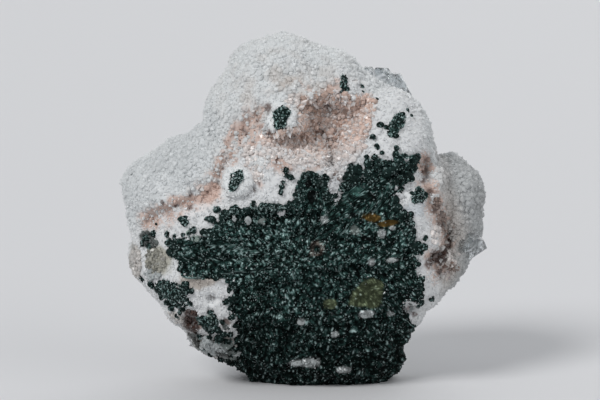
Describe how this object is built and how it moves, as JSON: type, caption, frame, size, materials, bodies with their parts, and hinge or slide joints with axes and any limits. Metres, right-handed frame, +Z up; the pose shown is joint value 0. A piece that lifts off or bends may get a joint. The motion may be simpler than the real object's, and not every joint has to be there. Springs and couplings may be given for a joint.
{
  "type": "mineral specimen",
  "caption": "Rounded cluster of white druzy quartz over a green celadonite core, with a pink-lined hollow and clear apophyllite on its shoulder, on a flat cut base.",
  "frame": {"origin": "under the middle of the part, on the plane of the flat base", "axes": "+Z up from the base, -Y out of the broken face with the green core, +X to the right seen from the front"},
  "size_m": [0.0927, 0.0482, 0.088],
  "materials": {
    "quartz": "white, sugary crystals",
    "celadonite": "dark green, grainy with small glints",
    "crust": "pink to brown small crystals",
    "apophyllite": "clear, glassy"
  },
  "bodies": {
    "root": {"quartz_druse": "quartz", "celadonite_matrix": "celadonite", "vug_crust": "crust", "celadonite_core_upper": "celadonite", "celadonite_core_left": "celadonite", "celadonite_seam_right": "celadonite", "celadonite_nodule_right": "celadonite", "celadonite_nodule_top": "celadonite", "celadonite_patch_left": "celadonite", "celadonite_patch_low": "celadonite", "apophyllite_shoulder": "apophyllite", "apophyllite_edge": "apophyllite"}
  },
  "joints": []
}
